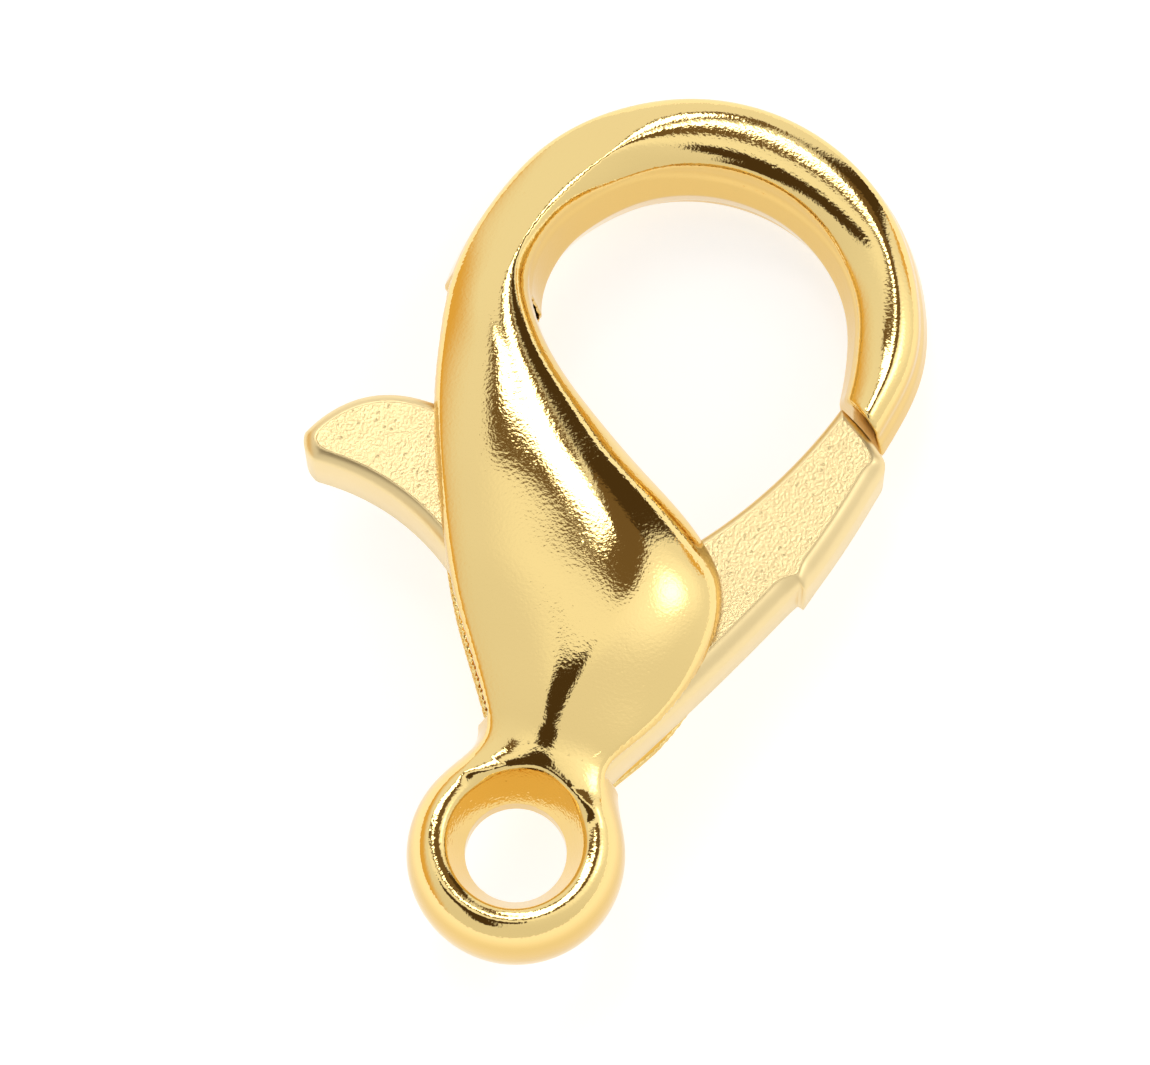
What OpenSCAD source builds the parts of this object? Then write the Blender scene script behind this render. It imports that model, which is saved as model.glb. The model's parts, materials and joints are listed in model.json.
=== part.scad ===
// Lobster clasp, 14 mm long, lying on a flat surface as it lies by itself.
// One casting holds the eye, the two hollow cheeks of the body and the hook. A flat lever with
// a thumb tab and a gate turns on a cross pin in the slot between the cheeks, and a bent leaf
// spring under the tab's arm keeps the gate against the hook.
// In plan the eye's centre is [0, 0], +Y runs to the hook and +X to the gate. Z is 0 in the
// plane that halves the casting, and rest_pose() then lays the whole clasp down.

/* [Eye] */
// Outside diameter of the eye
eye_od = 3.24; // [2.9:0.02:3.6]
// Diameter of the eye's through hole
eye_hole_d = 1.5; // [1.3:0.02:1.7]
// Length of the straight wall in the middle of the hole
eye_land = 0.3; // [0.2:0.02:0.5]
// Thickness of the eye
eye_t = 1.7; // [1.5:0.02:1.9]
// Diameter of the circle along which the eye is thickest
eye_crest_d = 2.4; // [2.2:0.02:2.6]
// Slope of the countersink, outwards for each millimetre of depth
eye_flare = 0.42; // [0.3:0.02:0.5]

/* [Body] */
// Width across the belly
body_w = 4.4; // [3.9:0.05:4.9]
// Thickness of the belly
body_t = 3.3; // [2.9:0.05:3.8]
// Draft of the cheeks' side walls
wall_draft = 13; // [8:1:18]
// Gap between the two cheeks
slot_w = 1.46; // [1.36:0.02:1.6]
// Distance from the eye's centre to the floor of the slot
slot_floor_y = 1.74; // [1.7:0.02:1.9]
// Distance from the eye's centre to the slot's open corner under the lever's hub
slot_corner_y = 1.38; // [1.3:0.02:1.5]
// Distance from the eye's centre to the top end of the slot
slot_top_y = 8.3; // [7.9:0.05:8.5]

/* [Hook] */
// Distance from the eye's centre to the loop's centre
loop_y = 8.45; // [8:0.05:9]
// Inside diameter of the loop
loop_d = 4.8; // [4.4:0.05:5.2]
// Width of the hook where it leaves the body
hook_root_w = 1.32; // [1.2:0.02:1.5]
// Width of the hook at its crown
hook_crown_w = 1.48; // [1.3:0.02:1.7]
// Width of the hook beside its tip
hook_tip_w = 1.12; // [1:0.02:1.3]
// Thickness of the hook at its crown
hook_t = 2.0; // [1.8:0.05:2.3]
// Thickness of the hook at its tip
hook_tip_t = 1.76; // [1.6:0.02:1.95]
// Set-in of the tip's inner corner from the loop's circle, towards the outside
tip_nose = 0.05; // [0:0.01:0.1]
// Set-in of the tip's outer corner from the hook's outer edge
tip_taper = 0.19; // [0.1:0.01:0.3]
// Drop of the tip's inner corner below the loop's centre
tip_in_drop = 0.28; // [0.15:0.01:0.4]
// Drop of the tip's outer corner below the loop's centre
tip_out_drop = 0.86; // [0.7:0.02:1]

/* [Lever] */
// Thickness of the lever
lever_t = 1.3; // [1.2:0.02:1.36]
// Distance of the pivot from the clasp's middle line
pivot_x = 0.58; // [0.5:0.01:0.64]
// Distance of the pivot from the eye's centre, along the clasp
pivot_y = 1.7; // [1.65:0.01:1.8]
// Diameter of the lever's hub round the pin
hub_d = 0.84; // [0.78:0.02:0.9]
// Gap between the hub and its pocket in the slot's floor
hub_room = 0.08; // [0.05:0.01:0.12]
// Gap between the gate and the tip of the hook
gate_gap = 0.12; // [0.06:0.01:0.15]
// Width of the gate's end
gate_end_w = 0.92; // [0.8:0.02:1]
// Set-in of the gate's end from the inner corner of the hook's tip
gate_set_in = 0.2; // [0.1:0.02:0.3]
// Height of the flash step along the gate, from the hub, as a share of its length
step_share = 0.65; // [0.5:0.02:0.8]
// Stand-off of the flash step from the straight line between hub and tip
gate_bow = 0.34; // [0.3:0.02:0.44]
// Height of the flash step on the gate's outer edge
gate_step = 0.1; // [0.06:0.01:0.14]
// Distance of the tab's end from the clasp's middle line
tab_x = 5.02; // [4.6:0.02:5.4]
// Height of the tab's end, from the eye's centre
tab_y = 5.14; // [4.9:0.02:5.4]
// Width of the tab where it enters the body
tab_root_w = 2.05; // [1.9:0.05:2.2]

/* [Pin and spring] */
// Diameter of the pivot pin
pin_d = 0.45; // [0.4:0.01:0.5]
// Length of the pivot pin
pin_l = 1.94; // [1.8:0.02:2]
// Radial gap round the pin in the cheeks
pin_seat_gap = 0.01; // [0.01:0.005:0.02]
// Radial gap round the pin in the lever's hub
pin_run_gap = 0.03; // [0.02:0.005:0.05]
// Thickness of the leaf spring
spring_t = 0.12; // [0.08:0.01:0.16]
// Width of the leaf spring
spring_w = 1.1; // [0.9:0.05:1.25]
// Length of each leg of the spring
spring_leg = 1.0; // [0.8:0.05:1.1]

/* [Rest] */
// Dip of the hook end as the clasp lies on a flat surface
rest_dip = 5.5; // [0:0.1:8]
// Dip of the gate side as the clasp lies on a flat surface
rest_lean = 4.1; // [0:0.1:8]

/* [Hidden] */
$fn = 64;
past = 1; // how far a cutter runs past what it cuts
loop_r = loop_d / 2;
pivot = [pivot_x, pivot_y];
pin_r = pin_d / 2;
hub_r = hub_d / 2;

// The casting is a row of ribs. Each rib joins a point on the outer edge to one on the inner
// edge. The body's ribs, from the eye to the root of the hook, as shares: the X columns of
// body_w, the Y columns of loop_y, the half thickness of half the belly's, and the heights of
// the two side walls of the rib's own half thickness.
body_ribs = [
    // outer x, outer y, inner x, inner y, thick, outer wall, inner wall
    [-0.225, 0.124, 0.232, 0.119, 0.53, 0.70, 0.75],
    [-0.239, 0.171, 0.245, 0.166, 0.62, 0.72, 0.80],
    [-0.300, 0.234, 0.305, 0.223, 0.71, 0.68, 0.74],
    [-0.393, 0.308, 0.384, 0.296, 0.80, 0.62, 0.62],
    [-0.486, 0.379, 0.438, 0.379, 0.88, 0.60, 0.55],
    [-0.570, 0.454, 0.460, 0.462, 0.96, 0.60, 0.52],
    [-0.645, 0.535, 0.433, 0.549, 1.00, 0.60, 0.50],
    [-0.712, 0.615, 0.340, 0.612, 1.00, 0.62, 0.50],
    [-0.767, 0.692, 0.200, 0.665, 0.98, 0.62, 0.52],
    [-0.808, 0.763, 0.042, 0.713, 0.94, 0.62, 0.54],
    [-0.838, 0.834, -0.128, 0.768, 0.88, 0.62, 0.56],
    [-0.862, 0.905, -0.300, 0.832, 0.81, 0.60, 0.60],
    [-0.873, 0.967, -0.438, 0.904, 0.73, 0.50, 0.64],
    [-0.866, 1.026, -0.520, 0.976, 0.66, 0.25, 0.66]
];
hook_wall = 0.68;    // height of the hook's inner wall, of its half thickness
parting_land = 0.08; // the same on its outer side
body_crest = 0.58;   // where the crest runs, across the casting from its outer edge
hook_crest = 0.5;
dome_power = 1.15;   // 1 is a full ellipse, and more is a flatter slope at the creases
steps = 3;           // rings for each rib
facets = 12;         // faces across each dome

// Width of the hook at an angle round the loop, from the three widths that are given
function hook_w(a) =
    let (mean = (hook_root_w + hook_tip_w) / 2)
    mean + (hook_tip_w - mean) * cos(a) + (hook_crown_w - mean) * sin(a);

// A point at a distance and an angle from the loop's centre
function round_loop(r, a) = [r * cos(a), loop_y + r * sin(a)];

// One rib as a list of numbers: outer point, inner point, half thickness, walls, crest
function rib(outer, inner, thick, walls, crest) = concat(outer, inner, [thick], walls, [crest]);

body_rows = [
    for (b = body_ribs)
        rib([b[0] * body_w, b[1] * loop_y], [b[2] * body_w, b[3] * loop_y],
            b[4] * body_t / 2, [b[5], b[6]], body_crest)
];

hook_from = 165;
hook_by = 20;
hook_rows = [
    for (a = [hook_from : -hook_by : 0])
        let (done = (hook_from - a) / hook_from)
        rib(round_loop(loop_r + hook_w(a), a), round_loop(loop_r, a),
            (hook_t * (1 - done) + hook_tip_t * done) / 2,
            [parting_land, hook_wall], hook_crest)
];

// The tip's slanted end face is the last rib, a little narrower than the hook
tip_in = [loop_r + tip_nose, loop_y - tip_in_drop];
tip_out = [loop_r + hook_tip_w - tip_taper, loop_y - tip_out_drop];
tip_row = rib(tip_out, tip_in, hook_tip_t / 2, [parting_land, hook_wall], hook_crest);

// A smooth curve through four values, from the second to the third as f runs from 0 to 1
function smooth(a, b, c, d, f) =
    b + (c - a) * f / 2 + (2 * a - 5 * b + 4 * c - d) * f * f / 2
    + (3 * b - a - 3 * c + d) * f * f * f / 2;

function fill_in(rows) = [
    for (i = [0 : len(rows) - 2], k = [0 : steps - 1])
        smooth(rows[max(i - 1, 0)], rows[i], rows[i + 1], rows[min(i + 2, len(rows) - 1)],
            k / steps),
    rows[len(rows) - 1]
];

// The outline of one rib's section: distance from the outer edge, and height. The side walls
// lean in by the draft, and a dome stands on them.
function half_section(wide, top, walls, crest_share) =
    let (
        from = walls[0] * tan(wall_draft),
        to = wide - walls[1] * tan(wall_draft),
        crest = from + (to - from) * crest_share,
        dome = [
            for (k = [0 : facets])
                let (a = 180 * k / facets, wall = a < 90 ? walls[0] : walls[1])
                [crest - cos(a) * (a < 90 ? crest - from : to - crest),
                 wall + (top - wall) * pow(sin(a), dome_power)]
        ]
    )
    concat([[0, 0]], dome, [[wide, 0]]);

function ring(row) =
    let (
        outer = [row[0], row[1]],
        inner = [row[2], row[3]],
        wide = norm(inner - outer),
        along = (inner - outer) / wide,
        half = half_section(wide, row[4], [row[5], row[6]] * row[4], row[7]),
        whole = concat(half, [for (k = [len(half) - 2 : -1 : 1]) [half[k][0], -half[k][1]]])
    )
    [for (p = whole) [outer[0] + along[0] * p[0], outer[1] + along[1] * p[0], p[1]]];

rings = [for (row = fill_in(concat(body_rows, hook_rows, [tip_row]))) ring(row)];
around = len(rings[0]);
skin_points = [for (r = rings) each r];

module body_and_hook() {
    ends = [[for (k = [0 : around - 1]) k],
            [for (k = [around - 1 : -1 : 0]) (len(rings) - 1) * around + k]];
    sides = [
        for (i = [0 : len(rings) - 2], k = [0 : around - 1])
            let (a = i * around + k, b = i * around + (k + 1) % around)
            each [[a, a + around, b], [b, a + around, b + around]]
    ];
    polyhedron(points = skin_points, faces = concat(ends, sides));
}

// The eye before its hole is cut: round outside, thickest along the crest
eye_r = eye_od / 2;
crest_r = eye_crest_d / 2;
eye_plain = 0.1;    // ring round the hole in which the blank is plain, and the countersink takes it
eye_shoulder = 0.25; // drop from the crest to the countersink
eye_blank_r = eye_hole_d / 2 + eye_plain;
module eye_blank() {
    half = eye_t / 2;
    outside = [for (a = [0 : 10 : 90]) [crest_r + (eye_r - crest_r) * cos(a), half * sin(a)]];
    inside = [
        for (a = [100 : 10 : 170])
            [crest_r + (crest_r - eye_blank_r) * cos(a), half - eye_shoulder * (1 - sin(a))]
    ];
    upper = concat(outside, inside, [[0, half - eye_shoulder]]);
    lower = [for (k = [len(upper) - 1 : -1 : 1]) [upper[k][0], -upper[k][1]]];
    rotate_extrude() polygon(concat(upper, lower));
}

module eye_hole() {
    r = eye_hole_d / 2;
    deep = body_t / 2;
    rotate_extrude()
        polygon([
            [0, -deep], [r + eye_flare * (deep - eye_land / 2), -deep], [r, -eye_land / 2],
            [r, eye_land / 2], [r + eye_flare * (deep - eye_land / 2), deep], [0, deep]
        ]);
}

// The slot runs right across the body, but stops short of the hook's tip, and has a round
// pocket and an open corner for the lever's hub
slot_set_in = 0.15; // how far the slot's gate side stays inside the loop's circle
slot_reach = loop_r - slot_set_in;
module slot() {
    linear_extrude(slot_w, center = true) {
        translate([-body_w, slot_floor_y])
            square([body_w + slot_reach, slot_top_y - slot_floor_y]);
        translate([pivot_x, slot_corner_y])
            square([slot_reach - pivot_x, slot_floor_y + past - slot_corner_y]);
        translate(pivot) circle(hub_r + hub_room);
    }
}

module at_pivot() translate([pivot_x, pivot_y, 0]) children();

module claw_body() {
    color("gold") rest_pose()
        difference() {
            union() {
                body_and_hook();
                eye_blank();
            }
            eye_hole();
            slot();
            at_pivot() cylinder(r = pin_r + pin_seat_gap, h = body_t + past, center = true);
        }
}

// An arc from one point towards another, whose middle stands off the straight line by the bow,
// a share of the line's length, to the left of the way it runs. The last point is left to the
// next stretch.
function arc(from, to, bow, n) =
    let (chord = to - from, side = [-chord[1], chord[0]])
    [for (k = [0 : n - 1]) let (f = k / n) from + chord * f + side * bow * 4 * f * (1 - f)];

function on_hub(a) = pivot + hub_r * [cos(a), sin(a)];

// The gate's end lies along the hook's end face, a gap away from it
tip_along = (tip_out - tip_in) / norm(tip_out - tip_in);
tip_away = [tip_along[1], -tip_along[0]];
shoulder_step = [0.13, -0.26]; // from the gate's outer corner to its shoulder
gate_in = tip_in + tip_away * gate_gap + tip_along * gate_set_in;
gate_out = gate_in + tip_along * gate_end_w;
gate_shoulder = gate_out + shoulder_step;

// The gate's outer edge and the arm's lower edge leave the hub at these two angles
hub_right_a = -30;
hub_left_a = -240;
hub_right = on_hub(hub_right_a);
hub_left = on_hub(hub_left_a);
gate_line = gate_shoulder - hub_right;
gate_side = [gate_line[1], -gate_line[0]] / norm(gate_line);
step_out = hub_right + gate_line * step_share + gate_side * gate_bow;
step_in = step_out - gate_side * gate_step;

// Where the tab leaves the body below and above, and where the gate does, as shares of body_w
tab_low_share = -0.58;
tab_top_share = -0.73;
gate_root_share = 0.23;
chin_step = [0.27, -0.38]; // from the tab's end to the corner under it
tab_low = [tab_low_share * body_w, tab_y - tab_root_w / 2];
tab_top = [tab_top_share * body_w, tab_y + tab_root_w / 2];
tab_end = [-tab_x, tab_y];
tab_chin = tab_end + chin_step;
gate_root = [gate_root_share * body_w, tab_y];

gate_edge = [
    // from, to, bow, points
    [gate_in, gate_out, 0.033, 4],
    [gate_out, gate_shoulder, 0.17, 4],
    [gate_shoulder, step_out, 0.018, 8],
    [step_in, hub_right, 0.01, 12]
];
tab_edge = [
    // from, to, bow, points
    [hub_left, tab_low, 0, 1],
    [tab_low, tab_chin, -0.083, 10],
    [tab_chin, tab_end, 0.15, 4],
    [tab_end, tab_top, 0.178, 12],
    [tab_top, gate_root, -0.08, 8],
    [gate_root, gate_in, -0.05, 12]
];
lever_outline = concat(
    [for (e = gate_edge) each arc(e[0], e[1], e[2], e[3])],
    [for (a = [hub_right_a : -10 : hub_left_a + 10]) on_hub(a)],
    [for (e = tab_edge) each arc(e[0], e[1], e[2], e[3])]
);

module trigger_lever() {
    color("goldenrod") rest_pose()
        difference() {
            linear_extrude(lever_t, center = true) polygon(lever_outline);
            at_pivot() cylinder(r = pin_r + pin_run_gap, h = lever_t + past, center = true);
        }
}

module pivot_pin() {
    color("silver") rest_pose() at_pivot() cylinder(r = pin_r, h = pin_l, center = true);
}

// The spring is a leaf bent round an eye of its own: one leg on the slot's floor, the other
// under the lever's arm
spring_seat_gap = 0.04;
spring_eye_r = 0.22;
arm = (tab_low - hub_left) / norm(tab_low - hub_left);
arm_slope = atan2(arm[1], -arm[0]);
spring_y = slot_floor_y + spring_seat_gap + spring_eye_r;
spring_x = hub_left[0]
    - (spring_eye_r + spring_seat_gap + (spring_y - hub_left[1]) * cos(arm_slope)) / sin(arm_slope);

module lever_spring() {
    color("lightsteelblue") rest_pose()
        translate([spring_x, spring_y, 0]) linear_extrude(spring_w, center = true)
            difference() {
                union() {
                    circle(spring_eye_r);
                    translate([-spring_leg, -spring_eye_r]) square([spring_leg, spring_t]);
                    rotate(-arm_slope) translate([-spring_leg, spring_eye_r - spring_t])
                        square([spring_leg, spring_t]);
                }
                circle(spring_eye_r - spring_t);
            }
}

// The whole clasp tilts as it lies, its box is centred in plan, and its lowest point meets Z = 0
function rest_z(p) =
    (p[2] * cos(rest_lean) - p[0] * sin(rest_lean)) * cos(rest_dip) - p[1] * sin(rest_dip);
rest_lift = -min([for (p = skin_points) rest_z(p)]);
middle = [(loop_r + hook_tip_w - tab_x) / 2, (loop_y + loop_r + hook_crown_w - eye_r) / 2];

module rest_pose() {
    translate([-middle[0], -middle[1], rest_lift])
        rotate([-rest_dip, 0, 0]) rotate([0, rest_lean, 0]) children();
}

claw_body();
trigger_lever();
pivot_pin();
lever_spring();
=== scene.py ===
# %% [markdown]
# # A gold lobster clasp
#
# The clasp is three visible pieces on one small machine: a casting with an eye, a hollow body
# and a hook, a flat lever that turns in it, and a leaf spring that shuts the lever. The packed
# model gives each of them its place and says how the lever turns. This lesson dresses them in
# their real shapes and finishes: smooth cast forms with rounded creases, pale gold plating, a
# sandy lever, and a studio that gives the gold something to reflect.

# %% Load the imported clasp
import json
import bpy
import numpy as np
from mathutils import Matrix


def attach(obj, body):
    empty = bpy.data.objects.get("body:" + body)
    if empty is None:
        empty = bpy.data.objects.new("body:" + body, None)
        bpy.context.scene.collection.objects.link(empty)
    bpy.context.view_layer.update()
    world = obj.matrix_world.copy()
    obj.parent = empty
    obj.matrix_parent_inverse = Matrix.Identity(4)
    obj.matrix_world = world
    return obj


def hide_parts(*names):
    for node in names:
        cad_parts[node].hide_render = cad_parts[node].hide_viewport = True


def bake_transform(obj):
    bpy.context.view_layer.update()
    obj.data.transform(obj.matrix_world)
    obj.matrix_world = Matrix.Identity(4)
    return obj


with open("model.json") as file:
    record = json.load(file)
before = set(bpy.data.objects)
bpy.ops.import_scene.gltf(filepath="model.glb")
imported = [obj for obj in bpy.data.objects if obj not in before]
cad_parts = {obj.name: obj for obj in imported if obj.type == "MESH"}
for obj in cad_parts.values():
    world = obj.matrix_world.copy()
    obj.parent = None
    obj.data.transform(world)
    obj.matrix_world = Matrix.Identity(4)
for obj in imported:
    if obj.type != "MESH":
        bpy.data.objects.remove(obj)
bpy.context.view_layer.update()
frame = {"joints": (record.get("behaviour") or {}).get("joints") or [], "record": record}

# %% [markdown]
# The clasp lies tilted on its belly, which makes its own lines awkward to write down. So every
# shape below is written in the clasp's own frame, in millimetres: the eye's centre is the
# origin, Y runs to the hook, X to the gate, and Z stands on the plane that halves the casting.
# The record's two mounts and its one joint give that frame.

# %% The clasp's own frame
MM = 0.001
mounts = {m["name"]: m for m in frame["record"]["mounts"]}
joint = frame["joints"][0]


def unit(v):
    """A vector scaled to length 1."""
    return np.asarray(v, float) / np.linalg.norm(v)


eye_at = np.array(mounts["eye"]["pos_m"]) / MM
loop_at = np.array(mounts["hook_loop"]["pos_m"]) / MM
own_z = unit(joint["axis"])
own_y = unit(loop_at - eye_at)
own_x = np.cross(own_y, own_z)
OWN_AXES = np.array([own_x, own_y, own_z])


def to_row(points):
    """Own frame in mm to row frame in metres: eye + x X + y Y + z Z, times 0.001."""
    return (eye_at + np.asarray(points, float) @ OWN_AXES) * MM


def to_own(points):
    """Row frame in metres back to the own frame in mm."""
    return (np.asarray(points, float) / MM - eye_at) @ OWN_AXES.T


LOOP_Y = float(np.linalg.norm(loop_at - eye_at))
PIVOT = to_own(joint["pos_m"])[:2]
EYE_HOLE_R = mounts["eye"]["dims"]["r_mm"]
print("loop centre at", round(LOOP_Y, 3), "mm, pivot at", PIVOT.round(3))

# %% [markdown]
# ## The casting as a row of ribs
#
# A founder would carve this pattern from cross sections. Each rib joins a point on the outer
# edge to one on the inner edge, from the eye up the body and round the hook. A rib's section
# has a short drafted wall at either end and a dome between them. Only a few ribs are written
# down, and a cubic spline runs through them, because its curvature has no steps: polished
# gold shows every step as a kink in its reflections.

# %% Sizes of the casting, in millimetres
BODY_W, BODY_T = 4.4, 3.3
LOOP_R = 2.4
HOOK_ROOT_W, HOOK_CROWN_W, HOOK_TIP_W = 1.32, 1.48, 1.12
HOOK_T, HOOK_TIP_T = 1.93, 1.74
WALL_DRAFT = np.tan(np.radians(13))
TIP_IN = np.array([LOOP_R + 0.05, LOOP_Y - 0.28])
TIP_OUT = np.array([LOOP_R + HOOK_TIP_W - 0.19, LOOP_Y - 0.86])

# %% The ribs of the body, from the eye to the root of the hook
# X in shares of BODY_W, Y of LOOP_Y, thickness of half BODY_T, walls of the rib's own thickness.
# Fullness is how square the dome is at each wall: 1 is a parabola and 2 an ellipse. A small
# ridge makes a roof with a rounded top, and a large one a dome.
body_ribs = np.array([
    # outer x, outer y, inner x, inner y, thick, walls out, in, crest, fullness out, in, ridge
    [-0.225, 0.124, 0.232, 0.119, 0.53, 0.70, 0.75, 0.53, 1.1, 1.2, 0.25],
    [-0.239, 0.171, 0.245, 0.166, 0.635, 0.72, 0.80, 0.51, 1.1, 1.2, 0.22],
    [-0.300, 0.234, 0.305, 0.223, 0.745, 0.68, 0.74, 0.49, 1.1, 1.3, 0.22],
    [-0.393, 0.308, 0.384, 0.296, 0.850, 0.62, 0.62, 0.52, 1.1, 1.4, 0.25],
    [-0.486, 0.379, 0.438, 0.379, 0.925, 0.60, 0.55, 0.57, 1.15, 1.6, 0.45],
    [-0.570, 0.454, 0.460, 0.462, 0.975, 0.60, 0.52, 0.59, 1.2, 1.7, 0.8],
    [-0.645, 0.535, 0.433, 0.549, 1.00, 0.60, 0.50, 0.59, 1.2, 1.6, 1.2],
    [-0.712, 0.615, 0.340, 0.612, 1.00, 0.62, 0.50, 0.58, 1.2, 1.4, 1.2],
    [-0.767, 0.692, 0.200, 0.665, 0.980, 0.62, 0.52, 0.58, 1.2, 1.3, 1.2],
    [-0.808, 0.763, 0.042, 0.713, 0.945, 0.62, 0.54, 0.58, 1.2, 1.3, 1.2],
    [-0.838, 0.834, -0.128, 0.768, 0.905, 0.62, 0.60, 0.59, 1.2, 1.4, 1.1],
    [-0.862, 0.905, -0.300, 0.832, 0.860, 0.62, 0.66, 0.62, 1.2, 1.4, 1.2],
    [-0.873, 0.967, -0.438, 0.904, 0.805, 0.62, 0.70, 0.69, 1.2, 1.4, 0.8],
    [-0.866, 1.026, -0.520, 0.976, 0.750, 0.62, 0.74, 0.77, 1.2, 1.4, 0.25],
])
body_rows = body_ribs * [BODY_W, LOOP_Y, BODY_W, LOOP_Y, BODY_T / 2, 1, 1, 1, 1, 1, 1]

# %% The ribs of the hook, every 20 degrees round the loop from its root
# from_crown is 1 at the root, 0 at the crown and -1 at the tip. Round the crown the hook's top
# is a full dome. It turns into a roof with a soft ridge to the tip, and a sharp one to the root.
# The width is a mean, with a difference by the cosine for root and tip and by the sine for the
# crown.
ROOT_ANGLE, CROWN_ANGLE, DOME_REACH = 165, 85, 45
ROOT_SWELL, WALL_OUT, WALL_IN = 0.25, 0.62, 0.66
HOOK_CRESTS = [0.82, 0.78, 0.60, 0.43, 0.37, 0.37, 0.37, 0.38, 0.40]
degrees = np.arange(ROOT_ANGLE, 0, -20)
hook_angles = np.radians(degrees)
round_loop = np.c_[np.cos(hook_angles), np.sin(hook_angles)]
mean_w = (HOOK_ROOT_W + HOOK_TIP_W) / 2
hook_w = mean_w + (HOOK_TIP_W - mean_w) * round_loop[:, 0] + (HOOK_CROWN_W - mean_w) * round_loop[:, 1]
from_crown = (degrees - CROWN_ANGLE) / (ROOT_ANGLE - CROWN_ANGLE)
to_root = np.maximum(from_crown, 0)
to_tip = np.minimum(from_crown, 0)
at_crown = np.maximum(1 - ((degrees - CROWN_ANGLE) / DOME_REACH) ** 2, 0) ** 2
hook_rows = np.c_[
    # outer point, inner point, thick, walls out, in, crest, fullness out, in, ridge
    (LOOP_R + hook_w)[:, None] * round_loop + [0, LOOP_Y],
    LOOP_R * round_loop + [0, LOOP_Y],
    (HOOK_T + ROOT_SWELL * to_root ** 2 - (HOOK_T - HOOK_TIP_T) * to_tip ** 2) / 2,
    np.full(len(degrees), WALL_OUT),
    WALL_IN + 0.12 * to_root ** 2,
    HOOK_CRESTS,
    2.2 - 1.0 * to_root,
    1.4 + 1.6 * at_crown,
    0.3 - 0.2 * np.minimum(2 * to_root, 1) + 2.5 * at_crown,
]
tip_row = np.r_[TIP_OUT, TIP_IN, HOOK_TIP_T / 2, hook_rows[-1, 5:]]
rows = np.vstack([body_rows, hook_rows, tip_row])
print(len(rows), "ribs")


# %% A spline through the ribs
middles = (rows[:, 0:2] + rows[:, 2:4]) / 2
knots = np.r_[0, np.cumsum(np.linalg.norm(np.diff(middles, axis=0), axis=1))]


def spline_bends(knots, values):
    """Second derivatives of the natural cubic spline: each knot's slopes from both sides agree."""
    gaps = np.diff(knots)
    system = np.eye(len(knots))
    right = np.zeros_like(values)
    inner = np.arange(1, len(knots) - 1)
    system[inner, inner - 1] = gaps[:-1]
    system[inner, inner] = 2 * (gaps[:-1] + gaps[1:])
    system[inner, inner + 1] = gaps[1:]
    slopes = np.diff(values, axis=0) / gaps[:, None]
    right[inner] = 6 * (slopes[1:] - slopes[:-1])
    return np.linalg.solve(system, right)


bends = spline_bends(knots, rows)
print("middle line from the eye to the tip:", round(knots[-1], 2), "mm")


def rib_at(t, columns=slice(None)):
    """Ribs and their slopes at distances t along the middle line.

    Between two knots a value is a (left) + b (right) + ((a^3 - a) L + (b^3 - b) R) gap^2 / 6, where
    b is the share of the way and a is 1 - b.
    """
    i = np.clip(np.searchsorted(knots, t) - 1, 0, len(knots) - 2)
    gap = (knots[i + 1] - knots[i])[..., None]
    b = (t - knots[i])[..., None] / gap
    a = 1 - b
    left, right = rows[i][..., columns], rows[i + 1][..., columns]
    bend_l, bend_r = bends[i][..., columns], bends[i + 1][..., columns]
    value = a * left + b * right + ((a ** 3 - a) * bend_l + (b ** 3 - b) * bend_r) * gap ** 2 / 6
    slope = (right - left) / gap + ((3 * b ** 2 - 1) * bend_r - (3 * a ** 2 - 1) * bend_l) * gap / 6
    return value, slope


# %% [markdown]
# ## From ribs to a solid
#
# The eye, the body and the hook are one casting whose parts melt into each other, and a slot
# is cut right through it. A single sheet of grid can't do that. So the casting is a distance
# field: at any point a number that is below 0 in the metal. Fields are easy to join, cut and
# round, since the larger of two distances is what two solids share. A rounded maximum also
# gives the crease a radius.

# %% Rounded edges between fields
def round_max(a, b, r):
    """What two fields share, with its edge rounded: max + (r - |a - b|)^2 / 4r within r of it."""
    return np.maximum(a, b) + np.maximum(r - np.abs(a - b), 0) ** 2 / (4 * r)


def round_min(a, b, r):
    """Two fields joined, with a fillet in the corner between them."""
    return -round_max(-a, -b, r)


# %% Which rib a point lies on
sample_t = np.linspace(knots[0], knots[-1], 260)
sample_v = np.linspace(0, 1, 9)
sample_ribs = rib_at(sample_t, slice(0, 4))[0]
inner_share = sample_v[:, None]
sample_xy = sample_ribs[:, None, 0:2] * (1 - inner_share) + sample_ribs[:, None, 2:4] * inner_share


def nearest_sample(x, y, batch=4000):
    """A first guess of each point's rib and share across it: the nearest of a coarse set."""
    flat = sample_xy.reshape(-1, 2).astype(np.float32)
    found = np.empty(len(x), int)
    for start in range(0, len(x), batch):
        part = slice(start, start + batch)
        far = (x[part, None] - flat[:, 0]) ** 2 + (y[part, None] - flat[:, 1]) ** 2
        found[part] = far.argmin(1)
    return sample_t[found // len(sample_v)], sample_v[found % len(sample_v)]


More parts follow.
